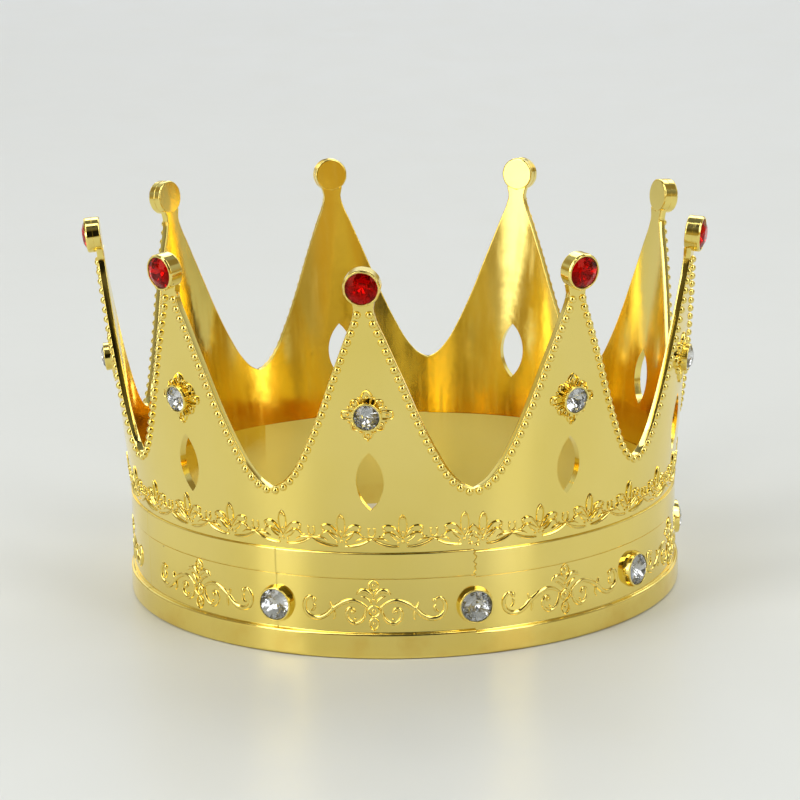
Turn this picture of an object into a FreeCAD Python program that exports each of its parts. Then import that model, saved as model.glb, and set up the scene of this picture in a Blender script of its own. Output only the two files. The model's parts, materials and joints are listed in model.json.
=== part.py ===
import FreeCAD, Part
import math
import os

# A small nine-point crown: one moulded plastic ring, plated gold, set with three rows of glued stones.
# Millimetres, +Z up. The origin is the centre of the bottom rim, on the crown's axis.
# Point 1 faces -Y, and numbers go on towards +X, anticlockwise seen from above.

V = FreeCAD.Vector

# ---- driving dimensions ----
POINTS = 9
PITCH_DEG = 360.0 / POINTS

BORE_RADIUS = 45.0  # straight inside of the band
RIM_RADIUS = 47.0
RIM_TOP = 4.2
BAND_RADIUS = 46.3  # recessed strip that carries the scrolls and the band stones
BAND_TOP = 13.3
COLLAR_RADIUS = 46.5
COLLAR_TOP = 17.4
WALL_RADIUS = 46.2  # outside of the flared wall, just above the collar
FLARE_DEG = 6.0
EDGE_BREAK = 0.25  # chamfer on the outer edges of the rim and the collar

TIP_HEIGHT = 61.4  # centre of a tip bezel, on the outside of the wall
TIP_OUTER_RADIUS = 2.95
TIP_STAND = 1.4  # how far a bezel's mouth stands out from the wall

POINT_SEAT_HEIGHT = 40.5
POINT_SEAT_RADIUS = 2.35
POINT_SEAT_STAND = 1.35

BAND_STONES = 4  # under the valleys on both sides of points 1 to 3; the rest of the band is plain
BAND_SEAT_HEIGHT = 8.24
BAND_SEAT_RADIUS = 3.05
BAND_SEAT_MOUTH_RADIUS = 2.8
BAND_SEAT_STAND = 1.2

SMALL_STONE = 4.0  # standard stone diameters
LARGE_STONE = 5.0
STONE_CLEARANCE = 0.05  # between a stone's girdle and its pocket, on the radius
STONE_SIDES = 12
GIRDLE_SINK = 0.1  # top of the girdle below the pocket's mouth
GIRDLE_HEIGHT = 0.12
CROWN_HEIGHT = 0.6
PAVILION_DEPTH = 1.45
CULET_RADIUS = 0.3
TABLE_SHARE = 0.58  # table width over girdle width
GLUE_UNDER_STONE = 0.15
GLUE_HEIGHT = 0.85

# Half the width of a point and the height it is measured at. The width is an arc at WIDTH_RADIUS.
# The side curves up from the middle of a valley through these places, then runs straight to the neck.
WIDTH_RADIUS = 47.0
VALLEY_HEIGHT = 27.6
POINT_OUTLINE = [(14.6, 28.3), (12.5, 30.5), (10.4, 34.2), (8.1, 39.3)]
NECK = (1.3, 57.3)

SLOT_BOTTOM = 24.5
SLOT_TOP = 34.3
SLOT_WIDTH = 4.4

# ---- derived ----
FLARE = math.tan(math.radians(FLARE_DEG))
WALL_THICKNESS = (WALL_RADIUS - BORE_RADIUS) * math.cos(math.radians(FLARE_DEG))
CUT_INNER = 0.6 * BORE_RADIUS
CUT_OUTER = 1.5 * RIM_RADIUS
CUT_TOP = 1.2 * TIP_HEIGHT
GAP_OVERLAP_DEG = 1.0  # how far the two halves of a gap's cutter pass each other


def wall_radius(height):
    return WALL_RADIUS + FLARE * (height - COLLAR_TOP)


def turned(shape, angle_deg):
    """A copy of a shape made at the front, turned about the crown's axis."""
    copy = shape.copy()
    copy.rotate(V(0, 0, 0), V(0, 0, 1), angle_deg)
    return copy


def all_round(shape, first_deg=0.0, count=POINTS):
    return [turned(shape, first_deg + k * PITCH_DEG) for k in range(count)]


def seated(shape, height, radius, tilt_deg):
    """Stands a shape made along +Z on the front of the crown, tilted down by tilt_deg."""
    tilt = math.radians(tilt_deg)
    outward = V(0, -math.cos(tilt), -math.sin(tilt))
    placed = shape.copy()
    placed.Placement = FreeCAD.Placement(V(0, -radius, height), FreeCAD.Rotation(V(0, 0, 1), outward))
    return placed


def ring():
    """The full ring: rim, recessed band, collar and the flared wall up to the tips."""
    outline = [
        (BORE_RADIUS, 0.0),
        (RIM_RADIUS - EDGE_BREAK, 0.0),
        (RIM_RADIUS, EDGE_BREAK),
        (RIM_RADIUS, RIM_TOP - EDGE_BREAK),
        (RIM_RADIUS - EDGE_BREAK, RIM_TOP),
        (BAND_RADIUS, RIM_TOP),
        (BAND_RADIUS, BAND_TOP),
        (COLLAR_RADIUS, BAND_TOP),
        (COLLAR_RADIUS, COLLAR_TOP - EDGE_BREAK),
        (WALL_RADIUS, COLLAR_TOP),
        (wall_radius(TIP_HEIGHT), TIP_HEIGHT),
        (wall_radius(TIP_HEIGHT) - WALL_RADIUS + BORE_RADIUS, TIP_HEIGHT),
        (BORE_RADIUS, COLLAR_TOP),
    ]
    corners = [V(radius, 0, height) for radius, height in outline]
    section = Part.Face(Part.makePolygon(corners + corners[:1]))
    return section.revolve(V(0, 0, 0), V(0, 0, 1), 360)


def side_place(half_width, height):
    """A place on the side of the front point, seen square on from -Y."""
    return V(wall_radius(height) * math.sin(half_width / WIDTH_RADIUS), 0, height)


def half_gap_cutter():
    """What is cut away between the front point's +X side and the middle of the next valley."""
    side = [side_place(half_width, height) for half_width, height in POINT_OUTLINE]
    valley = side_place(math.radians(0.5 * PITCH_DEG) * WIDTH_RADIUS, VALLEY_HEIGHT)
    straight = side_place(*NECK) - side[-1]
    top = side[-1] + straight * ((CUT_TOP - side[-1].z) / straight.z)
    curve = Part.BSplineCurve()
    curve.interpolate(Points=[valley] + side, InitialTangent=V(straight.x, 0, 0), FinalTangent=straight)
    far = valley.x + CUT_INNER
    corners = [side[-1], top, V(far, 0, CUT_TOP), V(far, 0, VALLEY_HEIGHT), valley]
    edges = [Part.makeLine(start, end) for start, end in zip(corners, corners[1:])]
    face = Part.Face(Part.Wire([curve.toShape()] + edges))
    face.translate(V(0, -CUT_INNER, 0))
    sector_deg = 0.5 * PITCH_DEG + GAP_OVERLAP_DEG
    sector = Part.makeCylinder(2 * CUT_OUTER, 2 * CUT_TOP, V(0, 0, 0), V(0, 0, 1), sector_deg)
    return face.extrude(V(0, CUT_INNER - CUT_OUTER, 0)).common(turned(sector, -90))


def gap_cutters():
    """The rounded V gaps, with each point's sides square to that point's own middle."""
    right = half_gap_cutter()
    left = right.mirror(V(0, 0, 0), V(1, 0, 0))
    return all_round(right) + all_round(left)


def slot_cutter():
    """The pointed oval slot in the middle of a point, between two arcs."""
    low = V(0, -CUT_INNER, SLOT_BOTTOM)
    high = V(0, -CUT_INNER, SLOT_TOP)
    middle = 0.5 * (SLOT_BOTTOM + SLOT_TOP)
    right = Part.Arc(low, V(0.5 * SLOT_WIDTH, -CUT_INNER, middle), high).toShape()
    left = Part.Arc(high, V(-0.5 * SLOT_WIDTH, -CUT_INNER, middle), low).toShape()
    return Part.Face(Part.Wire([right, left])).extrude(V(0, CUT_INNER - CUT_OUTER, 0))


def round_solid(outline):
    """A solid of revolution about +Z from its outline of (radius, height) pairs."""
    corners = [V(radius, 0, height) for radius, height in outline]
    return Part.Face(Part.makePolygon(corners + corners[:1])).revolve(V(0, 0, 0), V(0, 0, 1), 360)


def seat(foot_radius, mouth_radius, foot, stand):
    return round_solid([(0, foot), (foot_radius, foot), (foot_radius, 0), (mouth_radius, stand), (0, stand)])


def pocket_floor(stand):
    """Height of a pocket's floor, counted from the outside of the wall."""
    return stand - GIRDLE_SINK - GIRDLE_HEIGHT - PAVILION_DEPTH - GLUE_UNDER_STONE


def pocket(stone_diameter, stand):
    floor = pocket_floor(stand)
    radius = 0.5 * stone_diameter + STONE_CLEARANCE
    return Part.makeCylinder(radius, stand - floor + STONE_CLEARANCE, V(0, 0, floor))


def faceted_solid(rings):
    """A solid with STONE_SIDES sides through rings of (radius, height), closed flat at both ends."""
    corner_rings = []
    for radius, height in rings:
        turns = [2 * math.pi * side / STONE_SIDES for side in range(STONE_SIDES)]
        corner_rings.append([V(radius * math.cos(a), radius * math.sin(a), height) for a in turns])
    faces = [Part.Face(Part.makePolygon(ends + ends[:1])) for ends in (corner_rings[0], corner_rings[-1])]
    for lower, upper in zip(corner_rings, corner_rings[1:]):
        for side in range(STONE_SIDES):
            after = (side + 1) % STONE_SIDES
            corners = [lower[side], lower[after], upper[after], upper[side]]
            faces.append(Part.Face(Part.makePolygon(corners + corners[:1])))
    solid = Part.makeSolid(Part.makeShell(faces))
    if solid.Volume < 0:
        solid.reverse()
    return solid


def stone(diameter, stand):
    """A pointed-back stone: culet, pavilion, girdle, crown and flat table."""
    girdle_top = stand - GIRDLE_SINK
    girdle_bottom = girdle_top - GIRDLE_HEIGHT
    radius = 0.5 * diameter
    rings = [
        (CULET_RADIUS, girdle_bottom - PAVILION_DEPTH),
        (radius, girdle_bottom),
        (radius, girdle_top),
        (TABLE_SHARE * radius, girdle_top + CROWN_HEIGHT),
    ]
    return faceted_solid(rings)


def glue(diameter, stand):
    """The adhesive that fills the bottom of a pocket, up round the stone's pointed back."""
    radius = 0.5 * diameter + STONE_CLEARANCE
    drop = Part.makeCylinder(radius, GLUE_HEIGHT, V(0, 0, pocket_floor(stand)))
    return drop.cut(stone(diameter, stand))


POINT_SEAT_AT = wall_radius(POINT_SEAT_HEIGHT)
TIP_AT = wall_radius(TIP_HEIGHT)

# Each row of stones: its name, stone diameter, how far the seat stands out, the height and radius
# of its front seat on the outside of the ring, its tilt, the angle of its first seat and their number.
ROWS = [
    ("tip", LARGE_STONE, TIP_STAND, TIP_HEIGHT, TIP_AT, FLARE_DEG, 0.0, POINTS),
    ("point", SMALL_STONE, POINT_SEAT_STAND, POINT_SEAT_HEIGHT, POINT_SEAT_AT, FLARE_DEG, 0.0, POINTS),
    ("band", LARGE_STONE, BAND_SEAT_STAND, BAND_SEAT_HEIGHT, BAND_RADIUS, 0.0, -0.5 * PITCH_DEG, BAND_STONES),
]
SEATS = {
    "tip": seat(TIP_OUTER_RADIUS, TIP_OUTER_RADIUS, -WALL_THICKNESS, TIP_STAND),
    "point": seat(POINT_SEAT_RADIUS, POINT_SEAT_RADIUS, -0.5 * WALL_THICKNESS, POINT_SEAT_STAND),
    "band": seat(BAND_SEAT_RADIUS, BAND_SEAT_MOUTH_RADIUS, -0.5 * WALL_THICKNESS, BAND_SEAT_STAND),
}


def crown_body():
    """The one-piece moulding: ring, nine points, slots and a seat for every stone."""
    body = ring().cut(gap_cutters() + all_round(slot_cutter()))
    seats = []
    pockets = []
    for name, diameter, stand, height, radius, tilt, first, count in ROWS:
        seats += all_round(seated(SEATS[name], height, radius, tilt), first, count)
        pockets += all_round(seated(pocket(diameter, stand), height, radius, tilt), first, count)
    return body.fuse(seats).cut(pockets).removeSplitter()


def export(shape, node):
    if not shape.isValid() or len(shape.Solids) != 1:
        raise RuntimeError(node + " is not one valid solid")
    shape.Solids[0].exportStep(os.path.join("parts", node + ".step"))


def main():
    os.makedirs("parts", exist_ok=True)
    export(crown_body(), "crown_body")
    for name, diameter, stand, height, radius, tilt, first, count in ROWS:
        stones = all_round(seated(stone(diameter, stand), height, radius, tilt), first, count)
        drops = all_round(seated(glue(diameter, stand), height, radius, tilt), first, count)
        for number, (one_stone, one_drop) in enumerate(zip(stones, drops), start=1):
            export(one_stone, "%s_stone_%d" % (name, number))
            export(one_drop, "%s_stone_glue_%d" % (name, number))


main()
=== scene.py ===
import json
import math

import bmesh
import bpy
import numpy as np
from mathutils import Matrix, Vector


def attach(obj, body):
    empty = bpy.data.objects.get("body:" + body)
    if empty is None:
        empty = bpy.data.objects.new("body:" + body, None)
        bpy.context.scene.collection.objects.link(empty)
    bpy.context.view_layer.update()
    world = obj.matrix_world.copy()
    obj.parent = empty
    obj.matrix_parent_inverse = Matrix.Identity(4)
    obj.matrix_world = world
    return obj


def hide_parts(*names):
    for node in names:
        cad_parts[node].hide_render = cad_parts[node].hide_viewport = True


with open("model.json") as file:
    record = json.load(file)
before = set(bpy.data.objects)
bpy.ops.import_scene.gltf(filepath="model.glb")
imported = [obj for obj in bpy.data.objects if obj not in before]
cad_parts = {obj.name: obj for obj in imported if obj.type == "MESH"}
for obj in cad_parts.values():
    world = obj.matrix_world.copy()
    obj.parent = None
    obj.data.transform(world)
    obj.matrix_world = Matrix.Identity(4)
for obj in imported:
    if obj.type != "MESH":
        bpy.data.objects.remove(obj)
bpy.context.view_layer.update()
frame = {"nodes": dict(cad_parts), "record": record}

# Shapes are worked out in millimetres, in the frame's axes, and become metres when a piece is made.
# Places on the ring are (angle, height): the angle is counted from the front, -Y, towards +X.
MM = 0.001
WELD = 1e-6  # corners closer than this, in metres, become one
POINTS = 9
PITCH = 2 * math.pi / POINTS
HALF = 0.5 * PITCH

# ---- the ring, as the CAD frame has it ----
opening = next(m for m in frame["record"]["mounts"] if m["name"] == "head_opening")
BORE_RADIUS = opening["dims"]["r_mm"]
COLLAR_TOP = opening["dims"]["length_mm"]
RIM_RADIUS = BORE_RADIUS + 2.0
BAND_RADIUS = BORE_RADIUS + 1.3
COLLAR_RADIUS = BORE_RADIUS + 1.5
WALL_RADIUS = BORE_RADIUS + 1.2
RIM_TOP = 4.2
BAND_TOP = 13.3
FLARE_ANGLE = math.radians(6.0)
FLARE = math.tan(FLARE_ANGLE)
WALL_THICKNESS = (WALL_RADIUS - BORE_RADIUS) * math.cos(FLARE_ANGLE)
WALL_FOOT = 0.02  # the wall's first row is this far above the collar
GROOVE_HEIGHT = 0.2  # the groove under the collar
GROOVE_DEPTH = 0.12
SHOULDER_SHARE = 0.12  # of an edge's rounding
ARC_STEPS = 4

# Half the width of a point, as an arc at WIDTH_RADIUS, and the height it is measured at: up from
# the middle of a valley, along the straight side and out again where the neck meets the bezel.
WIDTH_RADIUS = 47.0
VALLEY_HEIGHT = 27.6
POINT_OUTLINE = [
    (14.6, 28.3),
    (12.5, 30.5),
    (10.4, 34.2),
    (8.1, 39.3),
    (5.45, 46.3),
    (2.92, 53.0),
    (1.7, 56.2),
    (1.42, 57.6),
    (1.75, 59.2),
]
NECK_MIDDLE = 58.7  # where the middle of the wall ends, inside the bezel
SIDE_STEP = 0.75  # between places down the side of a point
SIDE_COLUMNS = 20
EDGE_ROUND = 0.14
EDGE_STEPS = 3
SLOT_BOTTOM = 24.5
SLOT_TOP = 34.3
SLOT_HALF_WIDTH = 2.2
SPAN_SAMPLES = 24  # of a smooth path, between two of its points
TINY = 1e-6

# Each panel was moulded by its own slide. They line up nearly all round, but at the seam right of
# point 1 the next panel is lower. A thin line of flash stands on every seam, and a torn one there.
PANEL_LIFTS = [0.0, -0.32, -0.3, -0.26, -0.2, -0.08, 0.03, 0.05, 0.02]
FLASH_WIDTH = 0.1
FLASH_HEIGHT = 0.035
RIM_EDGE = 0.2  # the part of the rim's top that has no flash either
BESIDE_FLASH = 1.4  # flash widths from a seam to the column that keeps the face beside it smooth
TORN_OFFSETS = [0.1, -0.15, 0.2, 0.0, 0.3, -0.1, 0.15, 0.35, -0.05, 0.1]
TORN_WIDTH = 0.004
TORN_BOTTOM = BAND_TOP - 0.1
TORN_TOP = COLLAR_TOP - 0.3
TORN_SINK = 0.05
TORN_RISE = 0.4

# ---- seats ----
TIP_HEIGHT = 61.4
POINT_SEAT_HEIGHT = 40.5
BAND_SEAT_HEIGHT = 8.24
OPENING_HALF = 1.3  # half the opening in the band behind a stone, narrower than the stone
SEAT_ROOT = -0.3  # a seat starts this far inside the surface it stands on
SEAT_SIDES = 56
POCKET_TOOL_TOP = 0.4
TIP_BEZEL_RADIUS = 2.95
BEZEL_PARTING = 0.1  # the height of the bezel's parting line
BEZEL_STEP = 0.05  # how far it steps in behind that line
BEZEL_SIDES = 64
BEZEL_UNEVENNESS = 0.003
TIP_STAND = 1.4
POINT_RING_RADIUS = 2.35
POINT_STAND = 1.35
CUP_FOOT_RADIUS = 3.05
CUP_MOUTH_RADIUS = 2.8
BAND_STAND = 1.2
BAND_STONES = 4  # under the valleys on both sides of points 1 to 3

# ---- stones ----
LARGE_STONE_RADIUS = 2.5
SMALL_STONE_RADIUS = 2.0
CROWN_BREAK = 0.8  # where the upper facets meet, as a share of the radius
CULET_BREAK = 0.36  # where the lower facets meet, as shares of the radius and of the depth
CULET_BREAK_DEPTH = 0.66
STONE_TURN = 0.37  # from one stone to the next, so that no two shine alike
TIP_STONE_TURN = 0.2  # of the first stone of the tips
STONE_GAP = 0.05
GIRDLE_SINK = 0.1
GIRDLE_HEIGHT = 0.12
PAVILION_DEPTH = 1.45
GLUE_UNDER_STONE = 0.15

# ---- beading and ornament ----
BEAD_RADIUS = 0.63
BEAD_RISE = 0.6
BEAD_PITCH = 1.62
BEAD_INSET = 0.6
BEADING_STEP = 0.1
BEADING_TOP = 56.9
BEADING_NARROWEST = 0.75
# The palmette border runs both ways from the seam right of point 1, where the pattern is cut.
PALMETTE_PITCH = math.radians(12.1)
PALMETTE_FIRST = math.radians(1.85)
PALMETTES_EACH_WAY = 15
RELIEF_FOOT = -0.06  # ornament starts this far inside the surface it stands on
DOME_ROWS = [(0.0, 1.0), (0.42, 0.9), (0.77, 0.63), (0.96, 0.27)]  # shares of rise and radius
DOME_SIDES = 12
RIDGE_RIBS = 7
TAPER = 0.35  # the share of a line over which its end narrows
THINNEST = 0.06
FLOWER_LINE = {"width": 0.36, "rise": 0.4, "start": 0.9, "end": 0.6, "step": 0.12}

# ---- colours ----
GOLD_DEEP = (0.89, 0.71, 0.185, 1)
GOLD_PALE = (0.93, 0.755, 0.23, 1)
# painted shade: a darker orange for the rim, standing in for the reflected shadow at the ring's foot
PAINTED_RIM_SHADE = (0.80, 0.55, 0.12, 1)
DUST = (0.30, 0.20, 0.05, 1)
CLEAR_GLASS = (0.95, 0.955, 0.95, 1)
CLEAR_SHEEN = (1, 1, 1, 1)
RED_GLASS = (0.86, 0.0, 0.0, 1)
RED_SHEEN = (1, 0.15, 0.1, 1)
GLASS_IOR = 1.54
FOIL_DARK = (0.58, 0.59, 0.60, 1)
FOIL_PALE = (0.82, 0.83, 0.84, 1)
GLUE_YELLOW = (0.72, 0.69, 0.58, 1)
GLUE_PALE = (0.86, 0.84, 0.75, 1)
# painted light and shade: the table's colour goes from darker and warmer at the front to paler and bluer
# at the back
TABLE_NEAR = (0.65, 0.665, 0.635, 1)
TABLE_FAR = (0.91, 0.95, 0.99, 1)

# ---- studio: metres, and degrees from the front towards +X and up ----
TABLE_HALF = 3.0
TABLE_FRONT = 0.5  # how far the table comes forward of the crown's axis
LIGHT_AIM = (0, 0, 0.03)
# Name, azimuth, elevation, distance, width and height, and power.
SOFTBOXES = [
    ("left_light", -45, 30, 0.9, (0.33, 0.7), 2.2),
    ("right_light", 50, 30, 0.9, (0.27, 0.7), 1.6),
    ("left_top_light", -56, 60, 1.2, (0.55, 0.8), 4.0),
    ("right_top_light", 62, 60, 1.2, (0.5, 0.7), 3.1),
    ("back_light", 175, 45, 1.8, (1.8, 0.8), 11.0),
]
ROOM_FRONT = (0.10, 0.08, 0.03, 1)
ROOM_BACK = (0.95, 1.0, 1.05, 1)
ROOM_DEPTH = (-0.6, 0.8)  # the front changes to the back between these, along Y
ROOM_CEILING = (0.16, 0.17, 0.18, 1)
CEILING_HEIGHT = (0.5, 0.95)
ROOM_HORIZON = (0.40, 0.31, 0.12, 1)
HORIZON_HEIGHT = (0.12, 0.3)
# Parts of the room that differ: azimuth, elevation, radius, width of the soft edge, and colour.
ROOM_PATCHES = [
    (30, 2, 8, 6, (0.55, 0.36, 0.06, 1)),
    (-58, 0, 7, 8, (1.0, 0.8, 0.45, 1)),
    (-45, 6, 7, 3, (2.4, 2.4, 2.3, 1)),
    (150, 8, 5, 4, (1.3, 1.1, 0.6, 1)),
    (-150, 10, 6, 5, (1.4, 1.2, 0.7, 1)),
    (6, 14, 15, 5, (0.01, 0.009, 0.006, 1)),
    (40, 20, 8, 6, (0.03, 0.026, 0.02, 1)),
    (30, 66, 12, 8, (0.03, 0.028, 0.025, 1)),
    (-50, 66, 12, 8, (0.03, 0.028, 0.025, 1)),
    (-95, 40, 10, 8, (0.3, 0.24, 0.12, 1)),
    (100, 45, 10, 8, (0.25, 0.2, 0.1, 1)),
]

# ---- the view of the crown, in millimetres and degrees. The target is right of the axis and up ----
CAMERA_DISTANCE = 550.2
CAMERA_TARGET = (-0.18, 30.81)
CAMERA_AZIMUTH = 6.31
CAMERA_ELEVATION = 13.93
CAMERA_ROLL = 1.35
CAMERA_LENS = 145.1
CAMERA_SENSOR = 36.0
CAMERA_NEAR = 0.01


# ---------------------------------------------------------------- shapes


class Shape:
    """Corners in millimetres and the faces between them."""

    def __init__(self):
        self.corners = []
        self.faces = []

    def add(self, corners, faces):
        start = len(self.corners)
        self.corners.extend([tuple(corner) for corner in corners])
        self.faces.extend([tuple(start + i for i in face) for face in faces])

    def add_shape(self, other):
        self.add(other.corners, other.faces)

    def add_sheet(self, rows):
        """Quads between rows of the same number of places."""
        width = len(rows[0])
        faces = []
        for r in range(len(rows) - 1):
            for c in range(width - 1):
                at = r * width + c
                faces.append((at, at + 1, at + width + 1, at + width))
        self.add([place for row in rows for place in row], faces)

    def add_tube(self, rings):
        """A closed solid through rings of the same number of places, with flat ends."""
        width = len(rings[0])
        faces = [tuple(range(width)), tuple(range((len(rings) - 1) * width, len(rings) * width))]
        for r in range(len(rings) - 1):
            for c in range(width):
                after = (c + 1) % width
                low, high = r * width, (r + 1) * width
                faces.append((low + c, low + after, high + after, high + c))
        self.add([place for ring in rings for place in ring], faces)

    def turned(self, angle, lift=0.0):
        """A copy turned about the crown's axis and raised."""
        copy = Shape()
        places = np.array(self.corners)
        c, s = math.cos(angle), math.sin(angle)
        x = places[:, 0] * c - places[:, 1] * s
        y = places[:, 0] * s + places[:, 1] * c
        copy.corners = np.column_stack([x, y, places[:, 2] + lift]).tolist()
        copy.faces = list(self.faces)
        return copy

    def mirrored(self):
        copy = Shape()
        copy.corners = [(-x, y, z) for x, y, z in self.corners]
        copy.faces = list(self.faces)
        return copy


def all_round(shape, first=0.0, lifts=PANEL_LIFTS, count=POINTS):
    """Copies of a front shape, one for each panel, each raised as its panel is."""
    joined = Shape()
    for k in range(count):
        joined.add_shape(shape.turned(first + k * PITCH, lifts[k]))
    return joined


def smooth_path(points, step):
    """Evenly spaced places along a smooth curve through the points."""
    through = np.array(points, float)
    gaps = np.linalg.norm(np.diff(through, axis=0), axis=1)
    slopes = np.diff(through, axis=0) / gaps[:, None]
    shared = slopes[:-1] * gaps[1:, None] + slopes[1:] * gaps[:-1, None]
    shared /= (gaps[:-1] + gaps[1:])[:, None]
    pulls = np.vstack([slopes[:1], shared, slopes[-1:]])
    t = np.linspace(0, 1, SPAN_SAMPLES, endpoint=False)[:, None]
    spans = []
    for i, gap in enumerate(gaps):
        start = (2 * t**3 - 3 * t**2 + 1) * through[i] + (t**3 - 2 * t**2 + t) * gap * pulls[i]
        end = (3 * t**2 - 2 * t**3) * through[i + 1] + (t**3 - t**2) * gap * pulls[i + 1]
        spans.append(start + end)
    dense = np.vstack(spans + [through[-1:]])
    along = np.concatenate([[0.0], np.cumsum(np.linalg.norm(np.diff(dense, axis=0), axis=1))])
    wanted = np.linspace(0, along[-1], max(3, int(round(along[-1] / step)) + 1))
    return np.column_stack([np.interp(wanted, along, dense[:, k]) for k in range(dense.shape[1])])


def rounded(corners):
    """An outline of (radius, height, rounding) corners, with each corner rounded by an arc. A place
    close beyond each end of an arc keeps the flats beside it flat when they are shaded smooth."""
    outline = []
    for i, (radius, height, rounding) in enumerate(corners):
        here = np.array([radius, height])
        if rounding == 0 or i in (0, len(corners) - 1):
            outline.append(tuple(here))
            continue
        back = np.array(corners[i - 1][:2]) - here
        on = np.array(corners[i + 1][:2]) - here
        back /= np.linalg.norm(back)
        on /= np.linalg.norm(on)
        half = 0.5 * math.acos(float(np.clip(back @ on, -1, 1)))
        middle = here + (back + on) / np.linalg.norm(back + on) * rounding / math.sin(half)
        first = here + back * rounding / math.tan(half) - middle
        last = here + on * rounding / math.tan(half) - middle
        swing = math.pi - 2 * half
        beyond = SHOULDER_SHARE * rounding
        outline.append(tuple(middle + first + back * beyond))
        for k in range(ARC_STEPS + 1):
            share = k / ARC_STEPS
            a = math.sin((1 - share) * swing) / math.sin(swing)
            b = math.sin(share * swing) / math.sin(swing)
            outline.append(tuple(middle + a * first + b * last))
        outline.append(tuple(middle + last + on * beyond))
    return outline


def round_solid(outline, sides, unevenness=0.0):
    """A solid of revolution about +Z; the outline's ends are on the axis."""
    shape = Shape()
    turns = [2 * math.pi * k / sides for k in range(sides)]
    waves = [math.sin(7 * a + 1) + math.sin(11 * a + 2) + math.sin(17 * a) for a in turns]
    rings = []
    for radius, height in outline:
        ring = []
        for a, wave in zip(turns, waves):
            swollen = radius * (1 + unevenness * wave)
            ring.append((swollen * math.cos(a), swollen * math.sin(a), height))
        rings.append(ring)
    shape.add_tube(rings)
    return shape


def seated(shape, radius, height, tilt):
    """A copy of a shape made along +Z, standing on the front of the crown."""
    outward = Vector((0, -math.cos(tilt), -math.sin(tilt)))
    across = Vector((1, 0, 0))
    up = outward.cross(across)
    copy = Shape()
    for x, y, z in shape.corners:
        spot = Vector((0, -radius, height)) + across * x + up * y + outward * z
        copy.corners.append(tuple(spot))
    copy.faces = list(shape.faces)
    return copy


# ---------------------------------------------------------------- surfaces of the ring


def on_circle(radius, angle, height):
    return (radius * math.sin(angle), -radius * math.cos(angle), height)


def wall_radius(height):
    return WALL_RADIUS + FLARE * (height - COLLAR_TOP)


def on_wall(angle, height, out=0.0):
    """A place on the outside of the flared wall, or out from it along its normal."""
    radius = wall_radius(height) + out * math.cos(FLARE_ANGLE)
    return on_circle(radius, angle, height - out * math.sin(FLARE_ANGLE))


def on_band(angle, height, out=0.0):
    return on_circle(BAND_RADIUS + out, angle, height)


def inner_radius(height):
    return wall_radius(height) - WALL_RADIUS + BORE_RADIUS


def behind(angle, height):
    """The angle on the inside of the wall straight behind a place on its outside."""
    across = wall_radius(height) * math.sin(angle) / inner_radius(height)
    return min(HALF, math.asin(min(1.0, across)))


def on_inside(angle, height):
    return on_circle(inner_radius(height), angle, height)


def directions(angle, inward=False):
    """The normal of the wall at an angle, and its directions across and up."""
    normal = Vector((math.sin(angle), -math.cos(angle), -FLARE)).normalized()
    across = Vector((math.cos(angle), math.sin(angle), 0))
    up = Vector((FLARE * math.sin(angle), -FLARE * math.cos(angle), 1)).normalized()
    return (-normal if inward else normal), across, up


def point_side(step):
    """The side of a point from the middle of the valley to the bezel, as (angle, height) places,
    with the direction away from the wall at each place."""
    middle = (HALF * WIDTH_RADIUS, VALLEY_HEIGHT)
    beyond = (2 * middle[0] - POINT_OUTLINE[0][0], POINT_OUTLINE[0][1])
    path = smooth_path([beyond, middle] + POINT_OUTLINE, step)
    first = int(np.argmin(np.abs(path[:, 0] - middle[0])))
    path = path[first:]
    path[0] = middle
    along = np.gradient(path, axis=0)
    along /= np.linalg.norm(along, axis=1)[:, None]
    along[0] = (-1.0, 0.0)
    away = np.column_stack([along[:, 1], -along[:, 0]])
    return path, away


# ---------------------------------------------------------------- the moulded ring


def ring_profile(lift):
    """The outside of the ring from the bottom of the bore up to the foot of the wall."""
    return rounded(
        [
            (BORE_RADIUS, 0.0, 0.0),
            (RIM_RADIUS, 0.0, 0.45),
            (RIM_RADIUS, RIM_TOP + lift, 0.34),
            (BAND_RADIUS, RIM_TOP + lift, 0.14),
            (BAND_RADIUS, BAND_SEAT_HEIGHT - OPENING_HALF, 0.0),
            (BAND_RADIUS, BAND_SEAT_HEIGHT + OPENING_HALF, 0.0),
            (BAND_RADIUS, BAND_TOP - GROOVE_HEIGHT + lift, 0.03),
            (BAND_RADIUS - GROOVE_DEPTH, BAND_TOP - GROOVE_HEIGHT + lift, 0.03),
            (BAND_RADIUS - GROOVE_DEPTH, BAND_TOP + lift, 0.03),
            (COLLAR_RADIUS, BAND_TOP + lift, 0.08),
            (COLLAR_RADIUS, COLLAR_TOP + lift, 0.22),
            (WALL_RADIUS + FLARE * (lift + WALL_FOOT), COLLAR_TOP + WALL_FOOT + lift, 0.0),
        ]
    )


def panel_angles():
    """Angles across a panel, with two narrow last steps on each side for the mould's flash."""
    flash = FLASH_WIDTH / RIM_RADIUS
    seat = OPENING_HALF / BAND_RADIUS
    inside = np.linspace(-HALF + seat, HALF - seat, 2 * SIDE_COLUMNS - 1)
    beside = BESIDE_FLASH * flash
    return [-HALF, -HALF + flash, -HALF + beside, *inside, HALF - beside, HALF - flash, HALF]


def lower_panel(lift):
    """The rim, band and collar of one panel, with a thin line of flash along both seams."""
    rows = []
    angles = panel_angles()
    for i, (radius, height) in enumerate(ring_profile(lift)):
        under_rim = i < 2
        on_rim = radius >= RIM_RADIUS - RIM_EDGE
        flash = 0.0 if under_rim or on_rim else FLASH_HEIGHT
        row = [on_circle(radius, angle, height) for angle in angles]
        row[0] = on_circle(radius + flash, angles[0], height)
        row[-1] = on_circle(radius + flash, angles[-1], height)
        rows.append(row)
    return rows


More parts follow.
